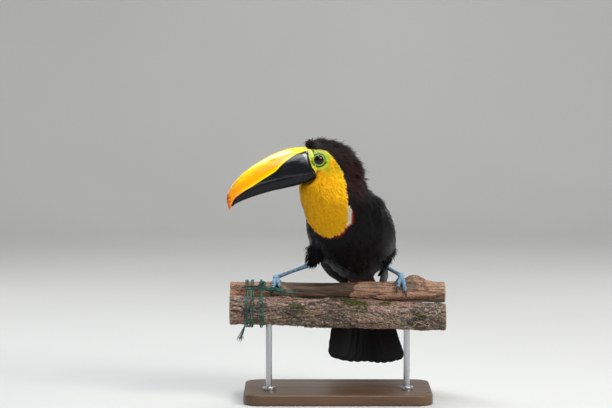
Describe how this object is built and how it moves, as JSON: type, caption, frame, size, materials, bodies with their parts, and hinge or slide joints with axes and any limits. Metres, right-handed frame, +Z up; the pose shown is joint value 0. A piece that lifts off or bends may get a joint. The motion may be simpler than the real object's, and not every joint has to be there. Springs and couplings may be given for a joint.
{
  "type": "choco toucan on a perch, still life-size model",
  "caption": "Toucan standing with its head turned and big curved bill to one side, gripping two lashed branches on rods over a flat base.",
  "frame": {"origin": "middle of the underside of the stand's base", "axes": "+Z up, the bird's breast faces -Y, its bill points toward -X and the perch runs along X"},
  "size_m": [0.2769, 0.2239, 0.3379],
  "materials": {
    "black_plumage": "soft black feathers, faint gloss",
    "crown_plumage": "brown-black hair-like feathers",
    "bib_plumage": "short yellow feathers with white and red lower edge",
    "bill_yellow": "smooth keratin, yellow above and black below the slanting divide",
    "bill_black": "smooth black keratin",
    "eye": "wet, dark brown",
    "leg_skin": "sky-blue scaled skin",
    "claw": "dark horn",
    "bark": "tan branch, smooth bark",
    "mossy_bark": "furrowed grey-brown bark with moss and lichen",
    "twine": "teal twisted twine",
    "stand_wood": "dark stained satin wood",
    "stand_steel": "satin steel"
  },
  "bodies": {
    "root": {"trunk": "black_plumage", "tail": "black_plumage", "wing_left": "black_plumage", "wing_right": "black_plumage", "thigh_left": "black_plumage", "thigh_right": "black_plumage", "head": "crown_plumage", "neck": "bib_plumage", "bill_upper": "bill_yellow", "bill_lower": "bill_black", "eye_left": "eye", "eye_right": "eye", "tarsus_left": "leg_skin", "tarsus_right": "leg_skin", "foot_left": "leg_skin", "foot_right": "leg_skin", "claw_left_1": "claw", "claw_left_2": "claw", "claw_left_3": "claw", "claw_left_4": "claw", "claw_right_1": "claw", "claw_right_2": "claw", "claw_right_3": "claw", "claw_right_4": "claw", "perch_rear": "bark", "perch_front": "mossy_bark", "perch_lashing": "twine", "stand_base": "stand_wood", "stand_rod_left": "stand_steel", "stand_rod_right": "stand_steel"}
  },
  "joints": []
}
